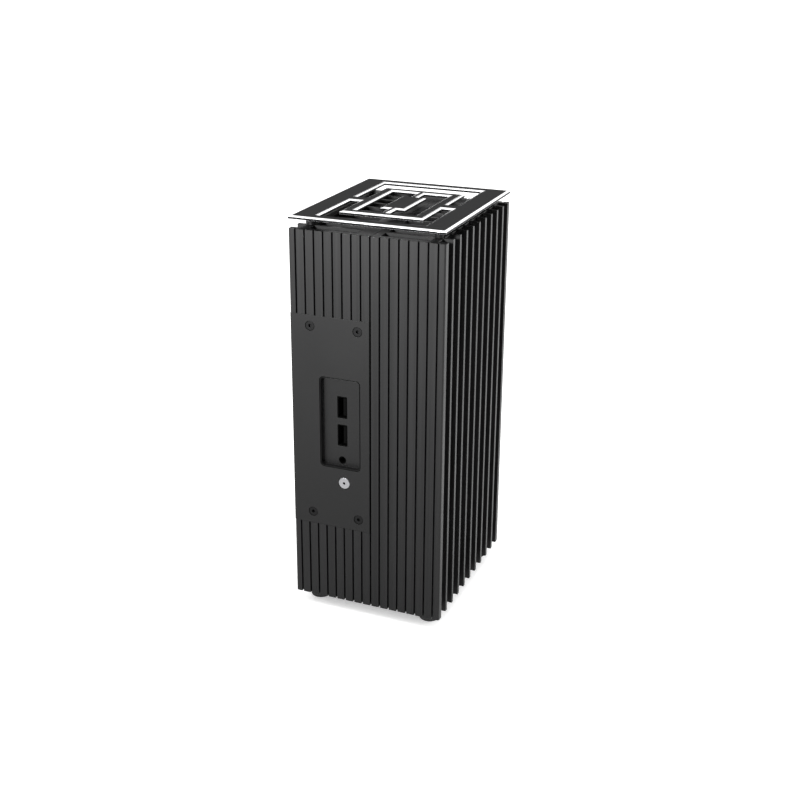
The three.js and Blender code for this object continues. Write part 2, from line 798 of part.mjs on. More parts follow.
add('rear_usb_stack', rearUsbStack(), brightSteel);
add('lan_socket', lanSocket(), brightSteel);
add('dc_socket', dcSocket(), blackPlastic);
const displayTongue = { x: [portFace - 3.9, portFace - 2.1], z: grown(displayBody.z, -2) };
const display = socketShell(displayBody.x, displayBody.z, rearMouth, displayBody.depth, displayTongue);
add('display_socket', display, brightSteel);
const usbCTongue = { x: [portFace - 2, portFace - 1.3], z: grown(usbCBody.z, -1.2) };
const usbC = socketShell(usbCBody.x, usbCBody.z, rearMouth, usbCBody.depth, usbCTongue);
add('usb_c_socket', usbC, brightSteel);

// ---------------------------------------------------------------- memory and storage
const memoryX = [portFace - 5, portFace];
const moduleX = [portFace - 3.4, portFace - 2.2];
const memorySocketZ = [154.7, 162.7];
const moduleZ = [128.7, 158.7];

function memorySocket() {
  const body = box(memoryX, [-35, 35], memorySocketZ);
  const slot = box(grown(moduleX, gap), [-34.1, 34.1], [memorySocketZ[0] - 1, moduleZ[1] + gap]);
  return cut(body, slot);
}

add('memory_socket', memorySocket(), blackPlastic);
add('memory_module', box(moduleX, [-33.8, 33.8], moduleZ), boardGreen);

const ssdX = [portFace - 2.6, portFace - 1.4];
function ssdSocket() {
  const body = box([portFace - 4, portFace], [18, 27], grown(ssd.z, 1));
  return cut(body, box(grown(ssdX, gap), [17, ssd.y[1] + gap], grown(ssd.z, gap)));
}

add('ssd_socket', ssdSocket(), blackPlastic);
add('ssd_module', box(ssdX, ssd.y, ssd.z), boardGreen);
const coin = { radius: 10, thick: 3.2, y: 5, z: 82.7 };
const coinCell = aim(rod(coin.radius, portFace - coin.thick, portFace, 32), '+x');
add('coin_cell', coinCell.translate(0, coin.y, coin.z), brightSteel);

const drive = { x: [-35.4, -28.4], y: [-35, 34.85], z: [67.7, 167.7] };
const driveScrewZs = { upper: 153.7, lower: 77.7 };
const sheetThick = 1;

function driveBracket() {
  const baseX = [-wallInner + gap, -wallInner + gap + sheetThick];
  const lowY = [drive.y[0] - gap - sheetThick, drive.y[0] - gap];
  const highY = [drive.y[1] + gap, drive.y[1] + gap + sheetThick];
  const flangeX = [baseX[0], drive.x[1] - 1];
  const flangeZ = [drive.z[0], drive.z[1]];
  const base = box(baseX, [lowY[0], highY[1]], [drive.z[0] - 12, drive.z[1] + 12]);
  const folded = join(base, box(flangeX, lowY, flangeZ), box(flangeX, highY, flangeZ));
  const holes = [];
  for (const z of Object.values(driveScrewZs)) {
    const hole = aim(rod(m3.shank + gap, 33, 38), '-y');
    holes.push(hole.translate((drive.x[0] + drive.x[1]) / 2, 0, z));
  }
  for (const z of Object.values(bracketScrewZs)) {
    holes.push(aim(rod(m3.shank + gap, -wallInner, -wallInner + 2), '+x').translate(0, 0, z));
  }
  return cut(folded, ...holes);
}

function storageDrive() {
  const blank = box(drive.x, drive.y, drive.z);
  const holes = [];
  for (const z of Object.values(driveScrewZs)) {
    const hole = aim(rod(m3.shank + gap, -drive.y[0] - 4.5, -drive.y[0] + 1), '-y');
    holes.push(hole.translate((drive.x[0] + drive.x[1]) / 2, 0, z));
  }
  const contactX = [drive.x[0] + 1, drive.x[0] + 4.5];
  const contacts = box(contactX, [-20, 20], [drive.z[0] - 1, drive.z[0] + 4]);
  return cut(blank, ...holes, contacts);
}

add('drive_bracket', driveBracket(), blackSteel);
add('storage_drive', storageDrive(), brightSteel);
for (const [name, z] of Object.entries(driveScrewZs)) {
  const screw = aim(panScrew(driveScrew), '-y');
  const x = (drive.x[0] + drive.x[1]) / 2;
  add(`drive_screw_${name}`, screw, brightSteel, x, drive.y[0] - 2 * gap - sheetThick, z);
}
for (const [name, z] of Object.entries(bracketScrewZs)) {
  const screw = aim(panScrew(bracketScrew), '+x');
  add(`bracket_screw_${name}`, screw, brightSteel, -wallInner + 2 * gap + sheetThick, 0, z);
}

// Flat lead from the drive's contacts, under the board's lower edge and up to its header.
const lead = { thick: 1, width: 30, lowest: drive.z[0] - 7, driveX: drive.x[0] + 2.75, boardX: -17.5 };
const leadPlug = {
  x: [drive.x[0] + 1.5, drive.x[0] + 4],
  y: [-18, 18],
  z: [drive.z[0] - 3, drive.z[0] + 3.5],
};
const leadHeader = {
  x: [-18.6, portFace],
  y: [-16, 16],
  z: [drive.z[0] + 1, drive.z[0] + 4.5],
};

function driveLead() {
  const from = new THREE.Vector2(lead.driveX, drive.z[0] + 2);
  const to = new THREE.Vector2(lead.boardX, leadHeader.z[1] + 1.5);
  const lowFrom = new THREE.Vector2(from.x, lead.lowest + 3);
  const lowTo = new THREE.Vector2(to.x, lead.lowest + 3);
  const middle = new THREE.Vector2((from.x + to.x) / 2, lead.lowest);
  const firstCorner = new THREE.Vector2(from.x, lead.lowest);
  const secondCorner = new THREE.Vector2(to.x, lead.lowest);
  const route = new THREE.CurvePath();
  route.add(new THREE.LineCurve(from, lowFrom));
  route.add(new THREE.QuadraticBezierCurve(lowFrom, firstCorner, middle));
  route.add(new THREE.QuadraticBezierCurve(middle, secondCorner, lowTo));
  route.add(new THREE.LineCurve(lowTo, to));
  const points = route.getPoints(5);
  const oneSide = [];
  const otherSide = [];
  for (let index = 0; index < points.length; index += 1) {
    const before = points[Math.max(index - 1, 0)];
    const after = points[Math.min(index + 1, points.length - 1)];
    const along = after.clone().sub(before).normalize();
    const across = new THREE.Vector2(-along.y, along.x).multiplyScalar(lead.thick / 2);
    oneSide.push(points[index].clone().add(across));
    otherSide.unshift(points[index].clone().sub(across));
  }
  const shape = new THREE.Shape([...oneSide, ...otherSide]);
  const ribbon = new THREE.ExtrudeGeometry(shape, { depth: lead.width, bevelEnabled: false });
  const strip = ribbon.rotateX(Math.PI / 2).translate(0, lead.width / 2, 0);
  const plug = box(leadPlug.x, leadPlug.y, leadPlug.z);
  const header = box(leadHeader.x, leadHeader.y, leadHeader.z);
  return join(strip, plug, header);
}

add('drive_lead', driveLead(), blackPlastic);

caseGroup.position.z = footHeight;

export default caseGroup;
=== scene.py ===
"""Fanless mini PC in an upright finned case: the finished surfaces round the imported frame.

Laid out as a Blender add-on and run as a script. Lengths are in metres.
"""

import math

import bpy
from mathutils import Euler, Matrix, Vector


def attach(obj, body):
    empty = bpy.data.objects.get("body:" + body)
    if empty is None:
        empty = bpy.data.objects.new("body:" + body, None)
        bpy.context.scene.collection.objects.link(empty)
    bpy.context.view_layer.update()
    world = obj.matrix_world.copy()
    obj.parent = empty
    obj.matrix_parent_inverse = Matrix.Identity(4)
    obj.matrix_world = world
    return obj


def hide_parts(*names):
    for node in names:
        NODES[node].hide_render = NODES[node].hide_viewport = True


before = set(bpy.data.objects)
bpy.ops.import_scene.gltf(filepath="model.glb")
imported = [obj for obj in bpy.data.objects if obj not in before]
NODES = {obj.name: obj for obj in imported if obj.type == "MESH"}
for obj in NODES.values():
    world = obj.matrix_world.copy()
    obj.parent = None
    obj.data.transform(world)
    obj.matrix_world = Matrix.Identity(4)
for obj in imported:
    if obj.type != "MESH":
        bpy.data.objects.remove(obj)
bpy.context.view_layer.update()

bl_info = {
    "name": "Fanless mini PC",
    "version": (1, 0, 0),
    "blender": (4, 5, 0),
    "location": "View3D > Sidebar > Mini PC",
    "description": "Builds the finished surfaces of an upright fanless mini PC",
    "category": "Object",
}

MM = 0.001
CASE = "case"
BUTTON = "button"

# Millimetres, in the frame of the part.
FRONT_FACE = -57.35
PANEL_FOOT = 57.4
PANEL_TOP = 191.6
RECESS_LEFT = -29.3
RECESS_RIGHT = -4.2
RECESS_FOOT = 97.4
RECESS_TOP = 154.1
RECESS_CORNER = 2.0
SEAM_OFFSET = 0.7  # from the recess to the far side of the groove around it
SEAM_WIDTH = 0.5
SEAM_DEPTH = 1.2
BUTTON_X = -14.3
BUTTON_Z = 87.6
BUTTON_FACE = -57.55
LIGHT_HOLE = 0.6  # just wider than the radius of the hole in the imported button
LIGHT_DEPTH = 0.7  # just deeper than that hole
HOLE_GROWTH = 1.6  # how many times wider the finished hole is
BOARD_FACE = -13.3  # components stand on it towards -X
MEMORY_FACE = -17.0
MEMORY_Z = 147.6
MEMORY_CHIP_YS = (-25.5, -8.5, 8.5, 25.5)
SSD_FACE = -16.2
SSD_Z = 118.6
SSD_CHIP_YS = (-27, -11)
CHIP_THICK = 0.9
CHOKE_YS = (-35, -27, -19)
CHOKE_FOOT = 97
CHOKE_HALF = 3.2
CHOKE_HEIGHT = 3.4
CAN_Z = 91
CAN_RADIUS = 2.7
CAN_HEIGHT = 5
HEADER_Y = -42.5
HEADER_Z = 149
PIN_PITCH = 2.54
PIN_HALF = 0.32
PIN_LENGTH = 8

CHAMFER_SLOPES = (0.3, 0.97)  # upward share of a chamfer's normal on the top plate


# ---------------------------------------------------------------- settings
def length(name, description, millimetres):
    return bpy.props.FloatProperty(
        name=name, description=description, default=millimetres * MM, unit="LENGTH"
    )


def strength(name, description, default, subtype="UNSIGNED"):
    return bpy.props.FloatProperty(
        name=name, description=description, default=default, subtype=subtype
    )


def colour(name, description, default):
    return bpy.props.FloatVectorProperty(
        name=name, description=description, default=default, subtype="COLOR", size=3
    )


class MiniPcSizes(bpy.types.PropertyGroup):
    rib_edge: length("Rib edge", "Width of the broken edges on the finned housings", 0.16)
    panel_edge: length("Panel edge", "Width of the broken edges on the socket panels", 0.08)
    plate_edge: length("Plate edge", "Width of the broken edges on the top plate", 0.06)
    screw_edge: length("Screw edge", "Width of the broken edges on screws and standoffs", 0.12)
    socket_edge: length("Socket edge", "Width of the broken edges on sockets", 0.1)
    board_edge: length("Board edge", "Width of the broken edges on parts of the board", 0.08)
    panel_growth: length("Panel growth", "How far the front panel closes on the ribs", 0.22)


class MiniPcColours(bpy.types.PropertyGroup):
    anodised: colour("Anodised", "Colour of the dyed aluminium", (0.003, 0.003, 0.0031))
    plate: colour("Plate", "Colour of the top plate's dyed face", (0.004, 0.004, 0.0042))
    bright_cut: colour("Bright cut", "Colour of the bare cut chamfers", (0.96, 0.96, 0.97))
    button: colour("Button", "Colour of the power button", (0.27, 0.27, 0.28))
    board: colour("Board", "Colour of the circuit board", (0.012, 0.05, 0.03))


class MiniPcStage(bpy.types.PropertyGroup):
    sky: strength("Sky", "Strength of the soft light from above", 1.5)
    horizon: strength("Horizon", "Strength of the light from low down", 0.03)
    table: strength("Table", "Strength of the light that comes up through the table", 0.4)
    overhead: strength("Overhead", "Strength of the light straight above", 1.0)
    key: strength("Key", "Power of the front lamp", 148.0, "POWER")


def sizes():
    return bpy.context.scene.mini_pc_sizes


def colours():
    return bpy.context.scene.mini_pc_colours


# ---------------------------------------------------------------- working with objects
def pick(obj):
    if bpy.context.mode != "OBJECT":
        bpy.ops.object.mode_set(mode="OBJECT")
    bpy.ops.object.select_all(action="DESELECT")
    obj.select_set(True)
    bpy.context.view_layer.objects.active = obj


def apply_modifier(obj, kind, **settings):
    pick(obj)
    bpy.ops.object.modifier_add(type=kind)
    modifier = obj.modifiers[-1]
    for key, value in settings.items():
        setattr(modifier, key, value)
    bpy.ops.object.modifier_apply(modifier=modifier.name)


def select_where(obj, kind, wanted):
    """Enter edit mode with only the wanted vertices (VERT) or faces (FACE) selected."""
    pick(obj)
    bpy.ops.object.mode_set(mode="EDIT")
    bpy.ops.mesh.select_mode(type=kind)
    bpy.ops.mesh.select_all(action="DESELECT")
    bpy.ops.object.mode_set(mode="OBJECT")
    parts = obj.data.vertices if kind == "VERT" else obj.data.polygons
    for item in parts:
        item.select = wanted(item)
    bpy.ops.object.mode_set(mode="EDIT")


def break_edges(obj, width, segments=2, angle=30):
    """Break the sharp edges and shade the flats flat and the rounds smooth."""
    apply_modifier(
        obj,
        "BEVEL",
        width=width,
        segments=segments,
        limit_method="ANGLE",
        angle_limit=math.radians(angle),
        use_clamp_overlap=True,
    )
    shade(obj)


def shade(obj, angle=40):
    pick(obj)
    bpy.ops.object.shade_smooth_by_angle(angle=math.radians(angle))
    apply_modifier(obj, "WEIGHTED_NORMAL", keep_sharp=True)


def paint(obj, material):
    obj.data.materials.clear()
    obj.data.materials.append(material)


def finish_piece(obj, body, slot, *replaced):
    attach(obj, body)
    if replaced:
        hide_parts(*replaced)
    return obj


def copy_node(node, name):
    """A copy of a CAD node with its loose triangles joined into flat faces."""
    pick(NODES[node])
    bpy.ops.object.duplicate()
    piece = bpy.context.active_object
    for key in [key for key in piece.keys() if key.startswith("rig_")]:
        del piece[key]
    piece.parent = None
    piece.name = name
    bpy.ops.mesh.customdata_custom_splitnormals_clear()
    bpy.ops.object.mode_set(mode="EDIT")
    bpy.ops.mesh.select_all(action="SELECT")
    bpy.ops.mesh.remove_doubles(threshold=0.002 * MM)
    bpy.ops.mesh.dissolve_limited(angle_limit=math.radians(0.5))
    bpy.ops.object.mode_set(mode="OBJECT")
    return piece


def refined(node, edge, material, slot, body=CASE, segments=2):
    """A finished piece with a node's exact shape and softened edges."""
    piece = copy_node(node, f"{node}_finished")
    break_edges(piece, edge, segments)
    paint(piece, material)
    return finish_piece(piece, body, slot, node)


def block(name, low, high, margin=0.4, step=0.06):
    """A moulded block, its face towards -X dished inside a narrow margin."""
    low = Vector(low) * MM
    high = Vector(high) * MM
    bpy.ops.object.select_all(action="DESELECT")
    bpy.ops.mesh.primitive_cube_add(size=1, location=(low + high) / 2)
    piece = bpy.context.active_object
    piece.name = name
    piece.scale = high - low
    bpy.ops.object.transform_apply(location=True, rotation=True, scale=True)
    select_where(piece, "FACE", lambda face: face.normal.x < -0.9)
    bpy.ops.mesh.inset(thickness=margin * MM)
    bpy.ops.transform.translate(value=(step * MM, 0, 0))
    bpy.ops.object.mode_set(mode="OBJECT")
    return piece


def nodes_named(*starts):
    return sorted(name for name in NODES if name.startswith(starts))


# ---------------------------------------------------------------- materials
class Finish:
    """A Principled material that is built up node by node."""

    def __init__(self, name, base, metallic, roughness):
        self.material = bpy.data.materials.new(name)
        self.material.use_nodes = True
        self.tree = self.material.node_tree
        self.shader = self.tree.nodes["Principled BSDF"]
        self.base = base
        self.shader.inputs["Base Color"].default_value = (*base, 1)
        self.shader.inputs["Metallic"].default_value = metallic
        self.shader.inputs["Roughness"].default_value = roughness
        self.coordinates = self.tree.nodes.new("ShaderNodeTexCoord")
        self.height = None

    def node(self, kind, **settings):
        made = self.tree.nodes.new(kind)
        for key, value in settings.items():
            setattr(made, key, value)
        return made

    def link(self, output, target):
        self.tree.links.new(output, target)

    def mapped(self, scale, turn=(0, 0, 0)):
        mapping = self.node("ShaderNodeMapping")
        mapping.inputs["Scale"].default_value = scale
        mapping.inputs["Rotation"].default_value = turn
        self.link(self.coordinates.outputs["Object"], mapping.inputs["Vector"])
        return mapping.outputs["Vector"]

    def noise(self, scale, detail=3.0, stretch=(1, 1, 1)):
        noise = self.node("ShaderNodeTexNoise")
        noise.inputs["Scale"].default_value = scale
        noise.inputs["Detail"].default_value = detail
        self.link(self.mapped(stretch), noise.inputs["Vector"])
        return noise.outputs["Fac"]

    def between(self, value, low, high, out_low, out_high):
        span = self.node("ShaderNodeMapRange")
        for key, amount in (
            ("From Min", low),
            ("From Max", high),
            ("To Min", out_low),
            ("To Max", out_high),
        ):
            span.inputs[key].default_value = amount
        self.link(value, span.inputs["Value"])
        return span.outputs["Result"]

    def vary_roughness(self, value, low, high):
        self.link(self.between(value, 0.3, 0.7, low, high), self.shader.inputs["Roughness"])

    def vary_colour(self, value, other, low=0.35, high=0.65):
        ramp = self.node("ShaderNodeValToRGB")
        ramp.color_ramp.elements[0].position = low
        ramp.color_ramp.elements[0].color = (*self.base, 1)
        ramp.color_ramp.elements[1].position = high
        ramp.color_ramp.elements[1].color = (*other, 1)
        self.link(value, ramp.inputs["Fac"])
        self.link(ramp.outputs["Color"], self.shader.inputs["Base Color"])
        return ramp

    def raise_surface(self, value, strength, distance):
        bump = self.node("ShaderNodeBump")
        bump.inputs["Strength"].default_value = strength
        bump.inputs["Distance"].default_value = distance
        self.link(value, bump.inputs["Height"])
        if self.height is not None:
            self.link(self.height, bump.inputs["Normal"])
        self.height = bump.outputs["Normal"]
        self.link(self.height, self.shader.inputs["Normal"])


def scaled(rgb, factor):
    return tuple(min(channel * factor, 1) for channel in rgb)


def dyed_oxide(name, base, roughness, shine):
    """The hard dyed skin of anodised aluminium, which shines like a glaze and not like metal."""
    made = Finish(name, base, 0.0, roughness)
    made.shader.inputs["Specular IOR Level"].default_value = shine
    return made


def drawn_anodised():
    """Black anodised extrusion with faint die lines along its height."""
    base = tuple(colours().anodised)
    made = dyed_oxide("drawn_anodised", base, 0.42, 0.225)
    lines = made.noise(620, 3, (1, 1, 0.004))
    grain = made.noise(2600, 4)
    cloud = made.noise(14, 2)
    made.vary_colour(lines, scaled(base, 2.2))
    made.vary_roughness(cloud, 0.38, 0.46)
    made.raise_surface(lines, 0.15, 0.02 * MM)
    made.raise_surface(grain, 0.2, 0.015 * MM)
    return made.material


def milled_anodised():
    """Black anodised plate, bead blasted before dyeing."""
    base = tuple(colours().anodised)
    made = dyed_oxide("milled_anodised", base, 0.42, 0.225)
    grain = made.noise(3200, 4)
    cloud = made.noise(18, 2)
    made.vary_colour(grain, scaled(base, 1.2))
    made.vary_roughness(cloud, 0.38, 0.46)
    made.raise_surface(grain, 0.25, 0.015 * MM)
    return made.material


def brushed_plate():
    """The top plate's dyed face, brushed across before dyeing."""
    base = tuple(colours().plate)
    made = dyed_oxide("brushed_plate", base, 0.34, 0.03)
    strokes = made.noise(1100, 3, (0.03, 1, 1))
    cloud = made.noise(20, 2)
    made.vary_colour(strokes, scaled(base, 1.35))
    made.vary_roughness(cloud, 0.3, 0.38)
    made.raise_surface(strokes, 0.12, 0.012 * MM)
    return made.material


def bright_cut():
    """Bare aluminium left by the cutter that chamfers the plate."""
    base = tuple(colours().bright_cut)
    made = Finish("bright_cut", base, 1.0, 0.16)
    feed = made.noise(5000, 2, (1, 1, 0.2))
    made.vary_colour(feed, scaled(base, 0.96))
    made.vary_roughness(feed, 0.12, 0.2)
    made.raise_surface(feed, 0.08, 0.01 * MM)
    return made.material


def black_oxide():
    base = (0.004, 0.004, 0.0042)
    made = Finish("black_oxide", base, 0.0, 0.4)
    made.shader.inputs["Specular IOR Level"].default_value = 0.1
    grain = made.noise(1800, 4)
    made.vary_colour(grain, scaled(base, 1.5))
    made.vary_roughness(grain, 0.34, 0.48)
    made.raise_surface(grain, 0.1, 0.02 * MM)
    return made.material


def turned_steel():
    base = (0.6, 0.61, 0.63)
    made = Finish("turned_steel", base, 1.0, 0.3)
    rings = made.noise(2400, 2, (0.1, 0.1, 1))
    made.vary_colour(rings, scaled(base, 0.85))
    made.vary_roughness(rings, 0.24, 0.36)
    made.raise_surface(rings, 0.15, 0.01 * MM)
    return made.material


def painted_shade_sheet():
    """Socket shells, jacks and the button's light hole, near black and all but unreflecting:
    painted shade that stands in for the dark inside their openings.
    """
    base = (0.001, 0.001, 0.001)
    made = Finish("painted_shade_sheet", base, 0.0, 0.5)
    made.shader.inputs["Specular IOR Level"].default_value = 0.02
    grain = made.noise(1500, 3, (1, 0.2, 1))
    made.vary_colour(grain, scaled(base, 1.5))
    made.vary_roughness(grain, 0.42, 0.58)
    made.raise_surface(grain, 0.1, 0.01 * MM)
    return made.material


def plated_sheet():
    base = (0.42, 0.42, 0.43)
    made = Finish("plated_sheet", base, 1.0, 0.34)
    grain = made.noise(1500, 3, (1, 0.2, 1))
    made.vary_colour(grain, scaled(base, 0.8))
    made.vary_roughness(grain, 0.28, 0.42)
    made.raise_surface(grain, 0.1, 0.01 * MM)
    return made.material


def cap_silver():
    base = tuple(colours().button)
    made = Finish("cap_silver", base, 0.9, 0.36)
    grain = made.noise(4200, 4)
    made.vary_colour(grain, scaled(base, 0.9))
    made.vary_roughness(grain, 0.32, 0.42)
    made.raise_surface(grain, 0.25, 0.01 * MM)
    return made.material


def foot_rubber():
    base = (0.016, 0.016, 0.016)
    made = Finish("foot_rubber", base, 0.0, 0.8)
    grain = made.noise(1600, 5)
    made.vary_colour(grain, scaled(base, 1.8))
    made.vary_roughness(grain, 0.7, 0.88)
    made.raise_surface(grain, 0.4, 0.03 * MM)
    return made.material


def moulded_black():
    base = (0.02, 0.02, 0.021)
    made = Finish("moulded_black", base, 0.0, 0.5)
    grain = made.noise(2400, 4)
    made.vary_colour(grain, scaled(base, 1.4))
    made.vary_roughness(grain, 0.44, 0.58)
    made.raise_surface(grain, 0.3, 0.012 * MM)
    return made.material


def chip_resin():
    base = (0.028, 0.028, 0.03)
    made = Finish("chip_resin", base, 0.0, 0.46)
    grain = made.noise(3800, 3)
    made.vary_colour(grain, scaled(base, 1.5))
    made.vary_roughness(grain, 0.4, 0.55)
    made.raise_surface(grain, 0.2, 0.01 * MM)
    return made.material


def spreader_copper():
    base = (0.8, 0.42, 0.28)
    made = Finish("spreader_copper", base, 1.0, 0.3)
    strokes = made.noise(900, 3, (1, 0.05, 1))
    tarnish = made.noise(60, 3)
    made.vary_colour(tarnish, (0.62, 0.32, 0.22))
    made.vary_roughness(strokes, 0.24, 0.38)
    made.raise_surface(strokes, 0.15, 0.015 * MM)
    return made.material


def gold_contact():
    base = (0.95, 0.72, 0.34)
    made = Finish("gold_contact", base, 1.0, 0.25)
    grain = made.noise(2800, 2)
    made.vary_colour(grain, scaled(base, 0.85))
    made.vary_roughness(grain, 0.2, 0.34)
    return made.material


def brushed_aluminium():
    base = (0.66, 0.67, 0.69)
    made = Finish("brushed_aluminium", base, 1.0, 0.34)
    strokes = made.noise(1300, 3, (1, 1, 0.03))
    made.vary_colour(strokes, scaled(base, 0.86))
    made.vary_roughness(strokes, 0.28, 0.4)
    made.raise_surface(strokes, 0.15, 0.012 * MM)
    return made.material


def circuit_board():
    """Solder resist with fine tracks under it, crossed by plated holes."""
    base = tuple(colours().board)
    made = Finish("circuit_board", base, 0.0, 0.32)
    tracks = made.node("ShaderNodeTexBrick")
    tracks.inputs["Scale"].default_value = 180
    tracks.inputs["Mortar Size"].default_value = 0.03
    tracks.inputs["Brick Width"].default_value = 2.4
    tracks.inputs["Row Height"].default_value = 0.22
    tracks.inputs["Color1"].default_value = (*base, 1)
    tracks.inputs["Color2"].default_value = (*scaled(base, 1.3), 1)
    tracks.inputs["Mortar"].default_value = (*scaled(base, 2.4), 1)
    across = made.mapped((1, 1, 1), (0, math.pi / 2, 0))
    made.link(across, tracks.inputs["Vector"])
    made.link(tracks.outputs["Color"], made.shader.inputs["Base Color"])
    grain = made.noise(1500, 3)
    made.vary_roughness(grain, 0.26, 0.38)
    made.raise_surface(tracks.outputs["Fac"], 0.25, 0.02 * MM)
    made.shader.inputs["Coat Weight"].default_value = 0.3
    made.shader.inputs["Coat Roughness"].default_value = 0.15
    return made.material


MATERIAL_MAKERS = {
    "black_anodised": drawn_anodised,
    "milled_anodised": milled_anodised,
    "plate_anodised": brushed_plate,
    "bright_cut": bright_cut,
    "black_steel": black_oxide,
    "bright_steel": turned_steel,
    "socket_steel": plated_sheet,
    "painted_shade_sheet": painted_shade_sheet,
    "button_silver": cap_silver,
    "foot_rubber": foot_rubber,
    "black_plastic": moulded_black,
    "chip_package": chip_resin,
    "spreader_copper": spreader_copper,
    "gold_contact": gold_contact,
    "drive_case": brushed_aluminium,
    "circuit_board": circuit_board,
}
made_materials = {}


def material(name):
    if name not in made_materials:
        made_materials[name] = MATERIAL_MAKERS[name]()
    return made_materials[name]


# ---------------------------------------------------------------- operators
class MINIPC_OT_stage(bpy.types.Operator):
    """Add the pale floor, the soft light and the camera"""

    bl_idname = "mini_pc.stage"
    bl_label = "Stage"

    def execute(self, context):
        settings = context.scene.mini_pc_stage
        self.camera(context)
        self.floor(settings)
        self.sky(context, settings)
        self.lamps(settings)
        context.scene.view_settings.view_transform = "Standard"
        return {"FINISHED"}

    def camera(self, context):
        data = bpy.data.cameras.new("camera")
        data.sensor_width = 36
        data.lens = 57.06
        data.shift_x = 0.0289
        data.shift_y = -0.0253
        camera = bpy.data.objects.new("camera", data)
        context.scene.collection.objects.link(camera)
        camera.location = Vector((277.4, -689.3, 416.5)) * MM
        camera.rotation_euler = Euler((math.radians(90 - 20.63), 0, math.radians(23.15)))
        context.scene.camera = camera

    def floor(self, settings):
        """A pale table top of translucent acrylic, lit softly from below."""
        bpy.ops.object.select_all(action="DESELECT")
        bpy.ops.mesh.primitive_circle_add(vertices=96, radius=12, fill_type="NGON")
        floor = bpy.context.active_object
        floor.name = "floor"
        made = Finish("pale_floor", (0.8, 0.8, 0.8), 0.0, 0.7)
        cloud = made.noise(3, 2)
        made.vary_colour(cloud, (0.81, 0.81, 0.81))
        made.vary_roughness(cloud, 0.65, 0.75)
        made.shader.inputs["Emission Color"].default_value = (1, 1, 1, 1)
        made.shader.inputs["Emission Strength"].default_value = settings.table
        paint(floor, made.material)

    def sky(self, context, settings):
        """A bright soft sky that fades towards the horizon, in front of a white backdrop."""
        world = bpy.data.worlds.new("studio")
        world.use_nodes = True
        context.scene.world = world
        tree = world.node_tree
        background = tree.nodes["Background"]
        output = tree.nodes["World Output"]
        direction = tree.nodes.new("ShaderNodeTexCoord")
        split = tree.nodes.new("ShaderNodeSeparateXYZ")
        rise = tree.nodes.new("ShaderNodeMapRange")
        rise.interpolation_type = "SMOOTHSTEP"
        rise.inputs["From Min"].default_value = 0.25
        rise.inputs["From Max"].default_value = 0.34
        rise.inputs["To Min"].default_value = settings.horizon
        rise.inputs["To Max"].default_value = settings.sky
        tree.links.new(direction.outputs["Generated"], split.inputs["Vector"])
        tree.links.new(split.outputs["Z"], rise.inputs["Value"])
        tree.links.new(rise.outputs["Result"], background.inputs["Strength"])
        backdrop = tree.nodes.new("ShaderNodeBackground")
        seen = tree.nodes.new("ShaderNodeLightPath")
        mix = tree.nodes.new("ShaderNodeMixShader")
        for node in (background, backdrop):
            node.inputs["Color"].default_value = (1, 1, 1, 1)
        tree.links.new(seen.outputs["Is Camera Ray"], mix.inputs["Fac"])
        tree.links.new(background.outputs["Background"], mix.inputs[1])
        tree.links.new(backdrop.outputs["Background"], mix.inputs[2])
        tree.links.new(mix.outputs["Shader"], output.inputs["Surface"])

    def lamps(self, settings):
        bpy.ops.object.light_add(type="SUN", location=(0, 0, 1.5))
        overhead = bpy.context.active_object
        overhead.name = "overhead_light"
        overhead.data.energy = settings.overhead
        overhead.data.angle = math.radians(40)
        for name, place, target, power, cone in (
            ("front_left", (-0.3, -1.04, 0.5), (0, 0, 0.3), settings.key, 30),
            ("rear_right", (0.9, 1.0, 0.4), (0, 0, 0.3), settings.key * 0.6, 26),
        ):
            bpy.ops.object.light_add(type="SPOT", location=place)
            lamp = bpy.context.active_object
            lamp.name = f"{name}_light"
            lamp.data.energy = power
            lamp.data.spot_size = math.radians(cone)
            lamp.data.spot_blend = 1.0
            lamp.data.shadow_soft_size = 0.08
            aim = Vector(target) - lamp.location
            lamp.rotation_euler = aim.to_track_quat("-Z", "Y").to_euler()


class MINIPC_OT_housings(bpy.types.Operator):
    """Finish the two finned housings"""

    bl_idname = "mini_pc.housings"
    bl_label = "Finned housings"

    def execute(self, context):
        for node in ("left_housing", "right_housing"):
            refined(node, sizes().rib_edge, material("black_anodised"), "black_anodised")
        return {"FINISHED"}


class MINIPC_OT_top_plate(bpy.types.Operator):
    """Finish the slotted top plate with its bright cut chamfers"""

    bl_idname = "mini_pc.top_plate"
    bl_label = "Top plate"

    def execute(self, context):
        piece = copy_node("top_plate", "top_plate_finished")
        piece.data.materials.clear()
        piece.data.materials.append(material("plate_anodised"))
        piece.data.materials.append(material("bright_cut"))
        steepest, flattest = CHAMFER_SLOPES
        for face in piece.data.polygons:
            face.material_index = int(steepest < face.normal.z < flattest)
        apply_modifier(
            piece,
            "BEVEL",
            width=sizes().plate_edge,
            segments=2,
            limit_method="ANGLE",
            angle_limit=math.radians(25),
            material=1,
        )
        shade(piece, 15)
        finish_piece(piece, CASE, "plate_anodised", "top_plate")
        return {"FINISHED"}


